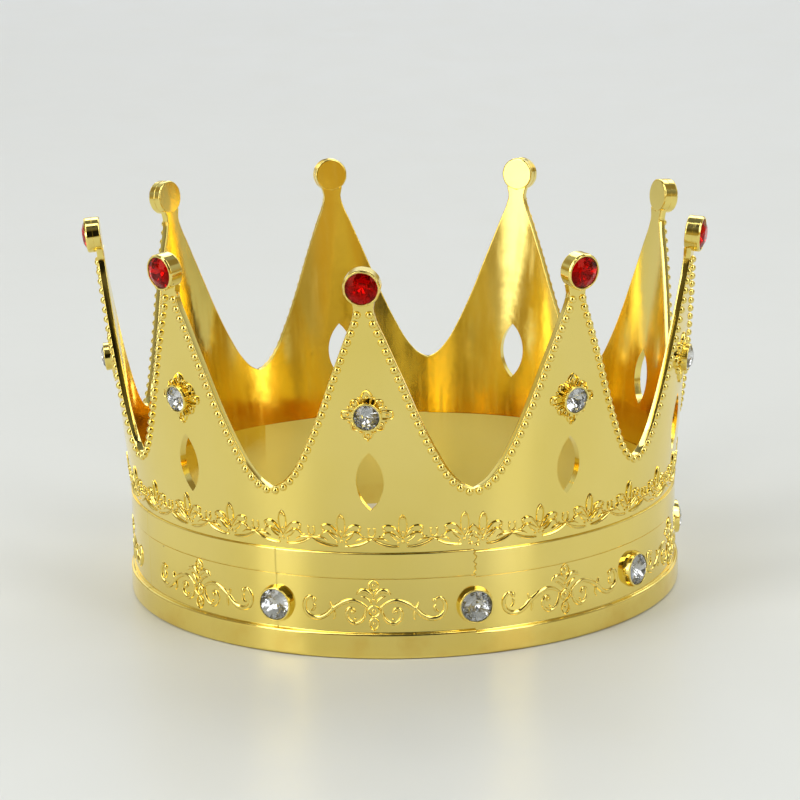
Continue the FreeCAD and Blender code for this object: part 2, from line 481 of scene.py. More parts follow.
def slot_half_angle(height):
    """Half the width of the slot at a height, between its two arcs, as an angle."""
    half_height = 0.5 * (SLOT_TOP - SLOT_BOTTOM)
    offset = height - 0.5 * (SLOT_TOP + SLOT_BOTTOM)
    if abs(offset) >= half_height:
        return 0.0
    arc = (half_height**2 + SLOT_HALF_WIDTH**2) / (2 * SLOT_HALF_WIDTH)
    return (math.sqrt(arc**2 - offset**2) - arc + SLOT_HALF_WIDTH) / wall_radius(height)


def wall_rows(lift):
    """Rows of the right half of a panel's wall, each from the slot or the middle to the side."""
    rows = []
    foot = COLLAR_TOP + WALL_FOOT + lift
    shoulder = VALLEY_HEIGHT - EDGE_ROUND
    below_slot = np.linspace(foot, SLOT_BOTTOM, 6)
    beside_slot = np.linspace(SLOT_BOTTOM, shoulder, 5)
    for height in [*below_slot, *beside_slot[1:]]:
        rows.append(((slot_half_angle(height), height), (HALF, height)))
    path, away = point_side(SIDE_STEP)
    count = len(path) - 1
    to_slot = max(3, int(count * (SLOT_TOP - shoulder) / (NECK_MIDDLE - shoulder)))
    up_to_slot_top = np.linspace(shoulder, SLOT_TOP, to_slot + 1)
    above_slot = np.linspace(SLOT_TOP, NECK_MIDDLE, count - to_slot + 1)
    starts = [*up_to_slot_top, *above_slot[1:]]
    for k in range(1, count + 1):
        side, height = path[k] - EDGE_ROUND * away[k]
        rows.append(((slot_half_angle(starts[k]), starts[k]), (side / WIDTH_RADIUS, height)))
    return rows


def spread(start, end):
    """Places from one to the other, with a last narrow step."""
    across, rise = end[0] - start[0], end[1] - start[1]
    edge = FLASH_WIDTH / max(FLASH_WIDTH * 3, WIDTH_RADIUS * abs(across))
    shares = [*np.linspace(0, 1 - edge, SIDE_COLUMNS), 1.0]
    return [(start[0] + share * across, start[1] + share * rise) for share in shares]


def half_wall(lift):
    """The right half of a panel's wall: outside, inside, rounded side and slot."""
    shape = Shape()
    outside = []
    inside = []
    for start, end in wall_rows(lift):
        outside.append([on_wall(*place) for place in spread(start, end)])
        hidden_start = (behind(*start), start[1])
        hidden_end = (HALF if end[0] >= HALF - TINY else behind(*end), end[1])
        inside.append([on_inside(*place) for place in spread(hidden_start, hidden_end)])
    strips = side_strips()
    for row, strip in zip(outside[-len(strips):], strips):
        row[-1] = strip[0]
    for row, strip in zip(inside[-len(strips):], strips):
        row[-1] = strip[-1]
    shape.add_sheet(outside)
    shape.add_sheet([list(reversed(row)) for row in inside])
    shape.add_sheet(strips)
    in_slot = [r for r, (start, _) in enumerate(wall_rows(lift)) if start[0] > 0 or slot_tip(start)]
    shape.add_sheet([[inside[r][0], outside[r][0]] for r in in_slot])
    shape.add_sheet([outside[-1], inside[-1]])
    shape.add_sheet([strips[-1], [strips[-1][0]] * len(strips[-1])])
    return shape


def slot_tip(place):
    return abs(place[1] - SLOT_BOTTOM) < TINY or abs(place[1] - SLOT_TOP) < TINY


def side_strips():
    """Across the rounded side of a point, from the outside of the wall to the inside."""
    path, away = point_side(SIDE_STEP)
    strips = []
    for (arc, height), (side, rise) in zip(path, away):
        angle = arc / WIDTH_RADIUS
        hidden = behind(angle, height)
        strip = []
        for inward, place, here in (
            (False, Vector(on_wall(angle, height)), angle),
            (True, Vector(on_inside(hidden, height)), hidden),
        ):
            normal, across, up = directions(here, inward)
            outwards = across * side + up * rise
            arcs = []
            for k in range(EDGE_STEPS + 1):
                turn = k * math.pi / (2 * EDGE_STEPS)
                arcs.append(
                    place
                    - EDGE_ROUND * (1 - math.sin(turn)) * outwards
                    - EDGE_ROUND * (1 - math.cos(turn)) * normal
                )
            strip += reversed(arcs) if inward else arcs
        strips.append([tuple(place) for place in strip])
    return strips


def bore_rows(lift):
    """The inside of a panel, from the foot of the wall down to the bottom."""
    foot = COLLAR_TOP + WALL_FOOT + lift
    angles = [angle for angle, _ in spread((0, foot), (HALF, foot))]
    angles = [-angle for angle in reversed(angles[1:])] + angles
    heights = [(inner_radius(foot), foot), (BORE_RADIUS, COLLAR_TOP), (BORE_RADIUS, 0.0)]
    return [[on_circle(radius, angle, height) for angle in angles] for radius, height in heights]


def seam_side(k):
    """The left edge of a panel's lower part, turned to lie at the right edge of the panel before."""
    before = Shape()
    before.corners = [row[0] for row in lower_panel(PANEL_LIFTS[k % POINTS])]
    return before.turned(PITCH).corners


def moulded_ring():
    """The whole ring: its panels, and the strips that join their lower parts at the seams."""
    shape = Shape()
    for k, lift in enumerate(PANEL_LIFTS):
        lower = lower_panel(lift)
        right = half_wall(lift)
        panel = Shape()
        panel.add_sheet(lower)
        panel.add_shape(right)
        panel.add_shape(right.mirrored())
        panel.add_sheet(bore_rows(lift))
        shape.add_shape(panel.turned(k * PITCH))
        strip = Shape()
        strip.add_sheet([[row[-1], after] for row, after in zip(lower, seam_side(k + 1))])
        shape.add_shape(strip.turned(k * PITCH))
    return open_behind_cups(shape)


def open_behind_cups(shape):
    """The ring without the part of the band's face that is hidden behind each of its stones."""
    places = np.array(shape.corners)
    seats = [(k - 0.5) * PITCH for k in range(BAND_STONES)]
    opened = Shape()
    opened.corners = shape.corners
    for face in shape.faces:
        x, y, height = places[list(face)].mean(axis=0)
        angle = math.atan2(x, -y)
        across = min(abs(angle - seat) for seat in seats) * BAND_RADIUS
        outside = math.hypot(x, y) > 0.5 * (BORE_RADIUS + BAND_RADIUS)
        behind_stone = across < OPENING_HALF and abs(height - BAND_SEAT_HEIGHT) < OPENING_HALF
        if not (outside and behind_stone):
            opened.faces.append(face)
    return opened


def torn_flash():
    """A ragged line of flash up the collar, at the seam where the panels are out of line."""
    shape = Shape()
    sink = COLLAR_RADIUS - BAND_RADIUS - TORN_SINK
    heights = np.linspace(TORN_BOTTOM, TORN_TOP, len(TORN_OFFSETS))
    places = [(HALF + offset / COLLAR_RADIUS, height) for offset, height in zip(TORN_OFFSETS, heights)]
    rings = []
    for angle, height in places:
        feet = [on_band(angle + side * TORN_WIDTH, height, sink) for side in (-1, 1)]
        rings.append([feet[0], on_band(angle, height, TORN_RISE), feet[1]])
    for ring, after in zip(rings, rings[1:]):
        shape.add_tube([ring, after])
    return shape


# ---------------------------------------------------------------- seats


def at_tip(shape):
    return seated(shape, wall_radius(TIP_HEIGHT), TIP_HEIGHT, FLARE_ANGLE)


def at_point(shape):
    return seated(shape, wall_radius(POINT_SEAT_HEIGHT), POINT_SEAT_HEIGHT, FLARE_ANGLE)


def at_band(shape):
    return seated(shape, BAND_RADIUS, BAND_SEAT_HEIGHT, 0.0)


def bezel():
    """The round tip bezel: a disc flush with the inside of the wall, with a pocket for its stone."""
    pocket = LARGE_STONE_RADIUS + STONE_GAP
    outline = rounded(
        [
            (0.0, -WALL_THICKNESS, 0),
            (TIP_BEZEL_RADIUS - BEZEL_STEP, -WALL_THICKNESS, 0.25),
            (TIP_BEZEL_RADIUS - BEZEL_STEP, BEZEL_PARTING, 0),
            (TIP_BEZEL_RADIUS, BEZEL_PARTING + 0.03, 0),
            (TIP_BEZEL_RADIUS, TIP_STAND - 0.3, 0.2),
            (TIP_BEZEL_RADIUS - 0.16, TIP_STAND, 0.1),
            (pocket, TIP_STAND, 0.06),
            (pocket, pocket_floor(TIP_STAND), 0),
            (0.0, pocket_floor(TIP_STAND), 0),
        ]
    )
    return round_solid(outline, BEZEL_SIDES, BEZEL_UNEVENNESS)


def pocket_floor(stand):
    """Height of a pocket's floor, counted from the surface that its seat stands on."""
    return stand - GIRDLE_SINK - GIRDLE_HEIGHT - PAVILION_DEPTH - GLUE_UNDER_STONE


def pocket_tool(stone_radius, stand):
    """What is cut out of the ring for the back of a stone, up to its seat."""
    radius = stone_radius + STONE_GAP
    bottom, top = pocket_floor(stand), POCKET_TOOL_TOP
    return round_solid([(0.0, bottom), (radius, bottom), (radius, top), (0.0, top)], SEAT_SIDES)


def stone_ring(foot_radius, mouth_radius, stand, stone_radius):
    """A raised ring for a stone, standing on the surface of the wall or band."""
    pocket = stone_radius + STONE_GAP
    shape = Shape()
    outline = rounded(
        [
            (pocket, SEAT_ROOT, 0),
            (foot_radius + 0.02, SEAT_ROOT, 0),
            (foot_radius, 0.0, 0),
            (mouth_radius, stand, 0.13),
            (pocket, stand, 0.05),
            (pocket, SEAT_ROOT, 0),
        ]
    )
    rings = []
    for k in range(SEAT_SIDES + 1):
        a = 2 * math.pi * k / SEAT_SIDES
        rings.append([(radius * math.cos(a), radius * math.sin(a), height) for radius, height in outline])
    shape.add_sheet(rings)
    return shape


# ---------------------------------------------------------------- stones


def brilliant(radius, girdle_top, crown, table_share):
    """A brilliant-cut stone. Returns the cut faces and, apart, the foiled back."""
    cut = Shape()
    back = Shape()
    eighth = math.pi / 4
    table = table_share * radius
    mid_rise = crown * (radius - CROWN_BREAK * radius * math.cos(eighth / 2)) / (radius - table)

    def ring(at, height, count, offset=0.0):
        turns = [2 * math.pi * (k + offset) / count for k in range(count)]
        return [(at * math.cos(a), at * math.sin(a), height) for a in turns]

    tables = ring(table, girdle_top + crown, 8)
    mids = ring(CROWN_BREAK * radius, girdle_top + mid_rise, 8, 0.5)
    uppers = ring(radius, girdle_top, 16)
    lowers = ring(radius, girdle_top - GIRDLE_HEIGHT, 16)
    faces = [tuple(range(8))]
    for k in range(8):
        after = (k + 1) % 8
        before = (k - 1) % 8
        faces.append((k, 8 + k, after))
        faces.append((k, 8 + before, 16 + 2 * k, 8 + k))
        faces.append((8 + k, 16 + 2 * k, 16 + 2 * k + 1))
        faces.append((8 + k, 16 + 2 * k + 1, 16 + (2 * k + 2) % 16))
    for k in range(16):
        faces.append((16 + k, 32 + k, 32 + (k + 1) % 16, 16 + (k + 1) % 16))
    cut.add(tables + mids + uppers + lowers, faces)
    girdle_bottom = girdle_top - GIRDLE_HEIGHT
    culet = (0, 0, girdle_bottom - PAVILION_DEPTH)
    lower_mids = ring(CULET_BREAK * radius, girdle_bottom - CULET_BREAK_DEPTH * PAVILION_DEPTH, 8, 0.5)
    faces = []
    for k in range(8):
        before = (k - 1) % 8
        faces.append((0, 1 + before, 9 + 2 * k, 1 + k))
        faces.append((1 + k, 9 + 2 * k, 9 + 2 * k + 1))
        faces.append((1 + k, 9 + 2 * k + 1, 9 + (2 * k + 2) % 16))
    back.add([culet] + lower_mids + lowers, faces)
    return cut, back


# ---------------------------------------------------------------- ornament


def dome(surface, across, height, radius, rise):
    """A round bead standing on a surface, at an arc across from the middle of the point."""
    rings = []
    for out, share in [(RELIEF_FOOT, 1.0)] + [(level * rise, share) for level, share in DOME_ROWS]:
        ring = []
        for k in range(DOME_SIDES):
            a = 2 * math.pi * k / DOME_SIDES
            angle = (across + share * radius * math.cos(a)) / WIDTH_RADIUS
            ring.append(surface(angle, height + share * radius * math.sin(a), out))
        rings.append(ring)
    shape = Shape()
    shape.add_tube(rings)
    return shape


def ridge(surface, points, width, rise, start, end, step=0.16, limit=None):
    """A half-round raised line along a smooth path. start and end are its widths there, as shares.
    Nothing is made further across than the limit."""
    path = smooth_path(points, step)
    if limit is not None:
        path = path[path[:, 0] < limit]
    if len(path) < 4:
        return Shape()  # hardly any of it is within the limit
    along = np.gradient(path, axis=0)
    along /= np.linalg.norm(along, axis=1)[:, None] + 1e-12
    sideways = np.column_stack([-along[:, 1], along[:, 0]])
    count = len(path)
    rings = []
    for i in range(count):
        t = i / (count - 1)
        lost_at_start = (1.0 - start) * (1 - min(1.0, t / TAPER)) ** 2
        lost_at_end = (1.0 - end) * (1 - min(1.0, (1 - t) / TAPER)) ** 2
        share = max(1.0 - lost_at_start - lost_at_end, THINNEST)
        ring = []
        for k in range(RIDGE_RIBS):
            s = math.cos(math.pi * k / (RIDGE_RIBS - 1))
            out = RELIEF_FOOT + (rise * share**0.6 - RELIEF_FOOT) * math.sqrt(max(0.0, 1 - s * s))
            place = path[i] + sideways[i] * (0.5 * width * share * s)
            ring.append(surface(place[0] / WIDTH_RADIUS, place[1], out))
        rings.append(ring)
    shape = Shape()
    shape.add_tube(rings)
    return shape


def both_sides(shape):
    joined = Shape()
    joined.add_shape(shape)
    joined.add_shape(shape.mirrored())
    return joined


def beading():
    """The beads down both sides of a point, from its neck to the middle of each valley."""
    path, away = point_side(BEADING_STEP)
    inset = path - BEAD_INSET * away
    inset = inset[inset[:, 0] > BEADING_NARROWEST]
    along = np.concatenate([[0.0], np.cumsum(np.linalg.norm(np.diff(inset, axis=0), axis=1))])
    top = along[inset[:, 1] < BEADING_TOP][-1]
    count = int(top / BEAD_PITCH)
    shape = Shape()
    for k in range(count + 1):
        at = (k + 0.5) * top / (count + 0.5)
        across = np.interp(at, along, inset[:, 0])
        height = np.interp(at, along, inset[:, 1])
        shape.add_shape(dome(on_wall, across, height, BEAD_RADIUS, BEAD_RISE))
    return both_sides(shape)


def scroll():
    """The scroll on a band panel, made as its right half and a middle."""
    half = Shape()
    # Each line: its places, width and rise, and its widths at the start and end as shares.
    lines = [
        ([(1.1, 8.5), (2.3, 9.25), (3.5, 9.55), (5.0, 9.15), (6.7, 8.1), (7.9, 7.0), (9.05, 6.45),
          (10.3, 6.55), (11.2, 7.2), (11.55, 8.2), (11.35, 9.2), (10.7, 9.8), (10.1, 9.7)],
         0.82, 0.3, 0.45, 0.7),
        ([(10.45, 7.55), (10.0, 7.75), (9.8, 8.3), (10.0, 8.75)], 0.5, 0.26, 0.3, 0.4),
        ([(6.7, 8.2), (7.05, 8.7), (7.2, 9.3)], 0.4, 0.26, 1.0, 0.2),
        ([(6.65, 7.95), (6.45, 7.2), (6.65, 6.3)], 0.4, 0.26, 1.0, 0.2),
        ([(1.3, 8.5), (1.45, 7.4), (2.0, 6.3), (3.1, 5.75), (4.15, 6.35), (4.5, 7.4), (4.1, 8.2),
          (3.4, 8.2), (3.05, 7.6)], 0.6, 0.28, 0.4, 0.5),
        ([(0.12, 10.1), (0.6, 10.75), (1.3, 11.2), (2.1, 11.1), (2.8, 10.6)], 0.8, 0.32, 0.3, 0.2),
        ([(0.3, 9.0), (0.8, 9.7), (1.4, 10.1), (2.0, 10.3)], 0.42, 0.26, 0.4, 0.3),
        ([(0.0, 11.2), (0.62, 11.45), (0.8, 11.95), (0.5, 12.6), (0.05, 13.0)], 0.34, 0.26, 0.8, 0.5),
        ([(0.1, 6.75), (0.55, 6.3), (0.74, 5.7), (0.46, 5.05), (0.05, 4.6)], 0.34, 0.26, 0.7, 0.5),
        ([(0.1, 8.8), (0.65, 8.4), (0.95, 7.85), (0.65, 7.25), (0.1, 6.9)], 0.36, 0.28, 0.7, 0.7),
    ]
    for points, width, rise, start, end in lines:
        half.add_shape(ridge(on_band, points, width, rise, start, end))
    beads = [(9.85, 9.45, 0.42), (3.5, 7.65, 0.34), (3.1, 6.5, 0.22), (6.75, 8.15, 0.4)]
    for across, height, radius in beads:
        half.add_shape(dome(on_band, across, height, radius, 0.34))
    shape = both_sides(half)
    for height, radius in ((12.05, 0.34), (7.85, 0.42), (5.75, 0.32), (9.7, 0.28)):
        shape.add_shape(dome(on_band, 0.0, height, radius, 0.3))
    return shape


def palmette_half(limit=None):
    """The right half of a palmette of the border, with its share of the swag below."""
    half = Shape()
    # Each line: its places, width and rise, and its widths at the start and end as shares.
    lines = [
        ([(0.0, 19.8), (0.36, 20.4), (0.62, 21.6), (0.6, 22.7), (0.32, 23.5), (0.0, 23.85)],
         0.24, 0.26, 0.7, 0.9),
        ([(0.28, 20.2), (0.95, 21.2), (1.75, 21.95), (2.6, 22.05), (3.2, 21.7), (3.05, 21.1)],
         0.34, 0.3, 0.5, 0.6),
        ([(0.5, 20.0), (1.3, 20.5), (2.3, 20.9), (3.0, 20.6), (3.4, 20.15), (3.9, 20.25)],
         0.36, 0.3, 0.5, 0.3),
        ([(0.75, 19.5), (1.25, 19.75), (1.75, 20.25), (2.0, 20.75), (1.75, 21.0)], 0.26, 0.24, 0.5, 0.6),
        ([(0.6, 18.5), (1.8, 18.55), (3.1, 18.85), (4.2, 19.35), (4.95, 19.8)], 0.5, 0.34, 0.5, 0.45),
        ([(2.3, 19.35), (3.0, 19.75), (3.9, 19.85), (4.95, 19.85)], 0.26, 0.24, 0.4, 0.6),
        ([(4.93, 20.15), (4.6, 20.3), (4.4, 20.8), (4.5, 21.3)], 0.26, 0.24, 0.8, 0.5),
    ]
    for points, width, rise, start, end in lines:
        half.add_shape(ridge(on_wall, points, width, rise, start, end, limit=limit))
    beads = [(2.95, 21.15, 0.27), (1.65, 20.95, 0.2), (4.5, 21.45, 0.24), (0.75, 19.1, 0.22)]
    for across, height, radius in beads:
        if limit is None or across < limit:
            half.add_shape(dome(on_wall, across, height, radius, 0.28))
    return half


def palmette(cut=False):
    """A palmette. One that is cut stops at the seam to its right."""
    shape = Shape()
    shape.add_shape(palmette_half().mirrored())
    shape.add_shape(palmette_half(PALMETTE_FIRST * WIDTH_RADIUS if cut else None))
    for height, radius in ((23.3, 0.26), (20.9, 0.24), (19.3, 0.3)):
        shape.add_shape(dome(on_wall, 0.0, height, radius, 0.28))
    return shape


def palmette_border():
    """The border, from the seam right of point 1 both ways to the back."""
    shape = Shape()
    for k in range(PALMETTES_EACH_WAY):
        place = PALMETTE_FIRST + k * PALMETTE_PITCH
        one = palmette(cut=k == 0)
        for angle, copy in ((HALF - place, one), (HALF + place, one.mirrored())):
            panel = int(math.floor(angle / PITCH + 0.5)) % POINTS
            shape.add_shape(copy.turned(angle, PANEL_LIFTS[panel]))
    return shape


def flower(centre):
    """The flower moulded round the stone of a point: outlined petals, leaves between them and beads."""
    shape = Shape()

    def line(points, turn=0.0):
        c, s = math.cos(turn), math.sin(turn)
        for side in (1, -1):
            placed = [(side * (x * c - y * s), centre + x * s + y * c) for x, y in points]
            shape.add_shape(ridge(on_wall, placed, **FLOWER_LINE))

    line([(0.55, 2.3), (0.82, 2.95), (0.5, 3.6), (0.0, 4.1)])
    line([(0.45, -2.3), (0.68, -3.1), (0.5, -3.7), (0.0, -4.0)])
    for sign in (1, -1):
        line([(2.25, sign * 0.62), (3.1, sign * 0.66), (3.75, sign * 0.5), (3.98, 0.0)])
    for turn in (math.radians(45), math.radians(-45)):
        for sign in (1, -1):
            line([(2.2, sign * 0.42), (2.7, sign * 0.62), (3.15, sign * 0.3), (3.3, 0.0)], turn)
    beads = [(0.0, 2.9, 0.3), (0.0, -3.35, 0.3), (0.0, -4.25, 0.2)]
    for side in (1, -1):
        beads += [(side * 3.05, 0.0, 0.3), (side * 1.15, 2.75, 0.24), (side * 2.85, 1.25, 0.22)]
        beads += [(side * 1.1, -2.8, 0.24), (side * 2.8, -1.25, 0.22)]
        beads += [(side * 2.02, 2.02, 0.22), (side * 2.02, -2.02, 0.22)]
    for across, rise, radius in beads:
        shape.add_shape(dome(on_wall, across, centre + rise, radius, 0.36))
    return shape


# ---------------------------------------------------------------- materials


class NodeTree:
    """The nodes of a material or the world, with short ways to add the usual ones."""

    def __init__(self, tree):
        self.nodes = tree.nodes
        self.links = tree.links
        self.nodes.clear()

    def put(self, socket, value):
        if isinstance(value, bpy.types.NodeSocket):
            self.links.new(value, socket)
        else:
            socket.default_value = value

    def add(self, kind, inputs, **settings):
        """A node with its settings, and its inputs set to values or linked to sockets."""
        node = self.nodes.new("ShaderNode" + kind)
        for name, value in settings.items():
            setattr(node, name, value)
        for socket, value in inputs.items():
            self.put(node.inputs[socket], value)
        return node

    def coordinates(self, scale=(1, 1, 1)):
        """Coordinates on the object in metres, scaled."""
        place = self.add("TexCoord", {}).outputs["Object"]
        return self.add("Mapping", {"Vector": place, "Scale": scale}).outputs["Vector"]

    def part(self, vector, axis):
        return self.add("SeparateXYZ", {"Vector": vector}).outputs[axis]

    def noise(self, vector, scale, detail=3.0):
        return self.add("TexNoise", {"Vector": vector, "Scale": scale, "Detail": detail}).outputs["Fac"]

    def clouds(self, vector, scale, low=0.0, high=1.0):
        """Soft noise that goes from low to high."""
        return self.remap(self.noise(vector, scale), 0.3, 0.7, low, high)

    def remap(self, value, low, high, to_low=0.0, to_high=1.0):
        limits = {"From Min": low, "From Max": high, "To Min": to_low, "To Max": to_high}
        return self.add("MapRange", {"Value": value, **limits}).outputs["Result"]

    def combine(self, operation, first, second):
        return self.add("Math", {0: first, 1: second}, operation=operation).outputs["Value"]

    def mix(self, factor, first, second):
        """A colour between two."""
        node = self.add("Mix", {"Factor": factor}, data_type="RGBA")
        colours = [socket for socket in node.inputs if socket.type == "RGBA"]
        self.put(colours[0], first)
        self.put(colours[1], second)
        return next(socket for socket in node.outputs if socket.type == "RGBA")

    def specks(self, vector, scale, size, share):
        """Small round spots, in a share of the cells of a random pattern: 1 in a spot, 0 outside."""
        cells = self.add("TexVoronoi", {"Vector": vector, "Scale": scale})
        near = self.remap(cells.outputs["Distance"], size, 0.6 * size)
        pick = self.add("SeparateColor", {"Color": cells.outputs["Color"]}).outputs["Red"]
        return self.combine("MULTIPLY", near, self.combine("LESS_THAN", pick, share))

    def bump(self, height, strength, distance):
        inputs = {"Height": height, "Strength": strength, "Distance": distance}
        return self.add("Bump", inputs).outputs["Normal"]

    def shade(self, **inputs):
        """The surface, with the shader's inputs given by name; _ stands for a space in a name."""
        inputs = {name.replace("_", " "): value for name, value in inputs.items()}
        shader = self.add("BsdfPrincipled", inputs)
        self.add("OutputMaterial", {"Surface": shader.outputs["BSDF"]})


def new_material(name):
    material = bpy.data.materials.new(name)
    material.use_nodes = True
    return material, NodeTree(material.node_tree)


def plated_gold():
    """Bright yellow gold plating: slightly uneven, with dust, fine rubs and a soft orange peel, and with
    painted shade in darker orange blotches on the rim."""
    material, tree = new_material("plated_gold")
    even = tree.coordinates()
    upright = tree.coordinates((1, 1, 0.06))
    gold = tree.mix(tree.remap(tree.noise(even, 45), 0.35, 0.65), GOLD_DEEP, GOLD_PALE)
    # painted shade: darker orange blotches over the rim, below its top
    on_rim = tree.remap(tree.part(even, "Z"), RIM_TOP * MM, 0.8 * RIM_TOP * MM)
    blotches = tree.remap(tree.noise(even, 150), 0.5, 0.7, 0.0, 0.6)
    gold = tree.mix(tree.combine("MULTIPLY", on_rim, blotches), gold, PAINTED_RIM_SHADE)
    gold = tree.mix(tree.specks(even, 190, 0.035, 0.16), gold, DUST)
    rubs = tree.remap(tree.noise(upright, 900, 2.0), 0.5, 0.75, 0.0, 0.07)
    haze = tree.clouds(even, 90, 0.075, 0.13)
    peel = tree.bump(tree.noise(even, 260, 2.0), 0.05, 0.0004)
    tree.shade(Base_Color=gold, Metallic=1.0, Roughness=tree.combine("ADD", rubs, haze), Normal=peel)
    return material


def stone_glass(name, colour, shine, sheen_tint):
    """A polished stone, with faint rubs on its facets."""
    material, tree = new_material(name)
    even = tree.coordinates()
    paler = tuple(min(1.0, c * 1.06) for c in colour[:3]) + (1,)
    tree.shade(
        Base_Color=tree.mix(tree.clouds(even, 300), colour, paler),
        Roughness=tree.remap(tree.noise(even, 2500, 2.0), 0.45, 0.8, 0.0, 0.05),
        Transmission_Weight=1.0,
        IOR=GLASS_IOR,
        Specular_IOR_Level=shine,
        Specular_Tint=sheen_tint,
    )
    return material


def mirror_foil():
    """The silver foil on the back of a stone."""
    material, tree = new_material("mirror_foil")
    tint = tree.clouds(tree.coordinates(), 900)
    silver = tree.mix(tint, FOIL_DARK, FOIL_PALE)
    tree.shade(Base_Color=silver, Metallic=1.0, Roughness=tree.remap(tint, 0.0, 1.0, 0.03, 0.09))
    return material


def cured_glue():
    """Cured adhesive, hidden under the stones: cloudy, a little yellow, with small bubbles."""
    material, tree = new_material("cured_glue")
    even = tree.coordinates()
    tint = tree.clouds(even, 700)
    colour = tree.mix(tint, GLUE_YELLOW, GLUE_PALE)
    bubbles = tree.bump(tree.noise(even, 2200), 0.3, 0.0002)
    tree.shade(Base_Color=colour, Roughness=tree.remap(tint, 0.0, 1.0, 0.22, 0.38), Normal=bubbles)
    return material


def pale_table():
    """A satin table top with faint clouds, its colour painted darker and warmer towards the front and
    paler and bluer towards the back as light and shade across it.
    """
    material, tree = new_material("pale_table")
    even = tree.coordinates()
    # painted light and shade: paler towards the back, darker towards the front
    depth = tree.remap(tree.part(even, "Y"), -0.1, 1.2)
    tint = tree.combine("ADD", depth, tree.clouds(even, 3.0, -0.05, 0.05))
    tree.shade(
        Base_Color=tree.mix(tint, TABLE_NEAR, TABLE_FAR),
        Roughness=tree.clouds(even, 60, 0.32, 0.4),
        Specular_IOR_Level=0.24,
    )
    return material


# ---------------------------------------------------------------- pieces


def build_mesh(name, shape, weld=WELD):
    """A mesh in metres from a shape in millimetres."""
    mesh = bpy.data.meshes.new(name)
    mesh.from_pydata([(x * MM, y * MM, z * MM) for x, y, z in shape.corners], [], shape.faces)
    work = bmesh.new()
    work.from_mesh(mesh)
    if weld:
        bmesh.ops.remove_doubles(work, verts=work.verts, dist=weld)
        bmesh.ops.dissolve_degenerate(work, edges=work.edges, dist=weld)
    bmesh.ops.recalc_face_normals(work, faces=work.faces)
    work.to_mesh(mesh)
    work.free()
    return mesh


def cut_out(mesh, tool_shape):
    """The mesh with the tool's closed shapes taken out of it."""
    base = bpy.data.objects.new("cut_base", mesh)
    tool = bpy.data.objects.new("cut_tool", build_mesh("cut_tool", tool_shape))
    for item in (base, tool):
        bpy.context.scene.collection.objects.link(item)
    modifier = base.modifiers.new("cut", "BOOLEAN")
    modifier.operation = "DIFFERENCE"
    modifier.object = tool
    modifier.solver = "EXACT"
    bpy.context.view_layer.update()
    evaluated = base.evaluated_get(bpy.context.evaluated_depsgraph_get())
    result = bpy.data.meshes.new_from_object(evaluated)
    bpy.data.objects.remove(base)
    bpy.data.objects.remove(tool)
    return result


def make_piece(name, shape, materials, sharp=35, weld=WELD, tool=None):
    """A mesh object from a shape, riding on the crown. Edges of more than sharp degrees stay sharp."""
    mesh = build_mesh(name, shape, weld)
    if tool:
        mesh = cut_out(mesh, tool)
        mesh.name = name
    for material in materials:
        mesh.materials.append(material)
    if sharp:
        mesh.shade_smooth()
        mesh.set_sharp_from_angle(angle=math.radians(sharp))
    piece = bpy.data.objects.new(name, mesh)
    bpy.context.scene.collection.objects.link(piece)
    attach(piece, "root")
    return piece


def make_gold(name, shape, gold, **options):
    piece = make_piece(name, shape, [gold], **options)
    return piece


def make_body(gold):
    level = [0.0] * POINTS  # the points and seats are in line all round
    pockets = all_round(at_point(pocket_tool(SMALL_STONE_RADIUS, POINT_STAND)), 0, level)
    ring = make_gold("crown_ring", moulded_ring(), gold, tool=pockets)
    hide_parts("crown_body")
    point_ring = stone_ring(POINT_RING_RADIUS, POINT_RING_RADIUS, POINT_STAND, SMALL_STONE_RADIUS)
    cup = stone_ring(CUP_FOOT_RADIUS, CUP_MOUTH_RADIUS, BAND_STAND, LARGE_STONE_RADIUS)
    make_gold("tip_bezels", all_round(at_tip(bezel()), 0, level), gold)
    make_gold("point_stone_rings", all_round(at_point(point_ring), 0, level), gold)
    make_gold("band_stone_cups", all_round(at_band(cup), -HALF, level, BAND_STONES), gold)
    ornament = {
        "collar_flash": torn_flash(),
        "edge_beading": all_round(beading(), 0, level),
        "band_scrolls": all_round(scroll()),
        "palmette_border": palmette_border(),
        "point_flowers": all_round(flower(POINT_SEAT_HEIGHT), 0, level),
    }
    for name, shape in ornament.items():
        make_gold(name, shape, gold, weld=None)


def make_stones(row, count, slot, materials, cut, back, seat, first=0.0, turn=0.0):
    """One row of stones, each replacing its CAD node."""
    whole = Shape()
    whole.add_shape(cut)
    whole.add_shape(back)
    for k in range(count):
        shape = seat(whole.turned(turn + STONE_TURN * k)).turned(first + k * PITCH)
        piece = make_piece("%s_gem_%d" % (row, k + 1), shape, materials, sharp=None)
        for polygon in piece.data.polygons[len(cut.faces):]:
            polygon.material_index = 1
        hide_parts("%s_stone_%d" % (row, k + 1))


def make_all_stones():
    foil = mirror_foil()
    clear = [stone_glass("clear_stone", CLEAR_GLASS, 0.4, CLEAR_SHEEN), foil]
    red = [stone_glass("red_stone", RED_GLASS, 0.3, RED_SHEEN), foil]
    tip_cut = brilliant(LARGE_STONE_RADIUS, TIP_STAND - GIRDLE_SINK, crown=0.62, table_share=0.52)
    point_cut = brilliant(SMALL_STONE_RADIUS, POINT_STAND - GIRDLE_SINK, crown=0.58, table_share=0.55)
    band_cut = brilliant(LARGE_STONE_RADIUS, BAND_STAND - GIRDLE_SINK, crown=0.6, table_share=0.55)
    make_stones("tip", POINTS, "red_stone", red, *tip_cut, at_tip, turn=TIP_STONE_TURN)
    make_stones("point", POINTS, "clear_stone", clear, *point_cut, at_point)
    make_stones("band", BAND_STONES, "clear_stone", clear, *band_cut, at_band, first=-HALF)


def dress_glue():
    glue = cured_glue()
    for name, node in frame["nodes"].items():
        if "glue" in name:
            node.data.materials.clear()
            node.data.materials.append(glue)


# ---------------------------------------------------------------- studio


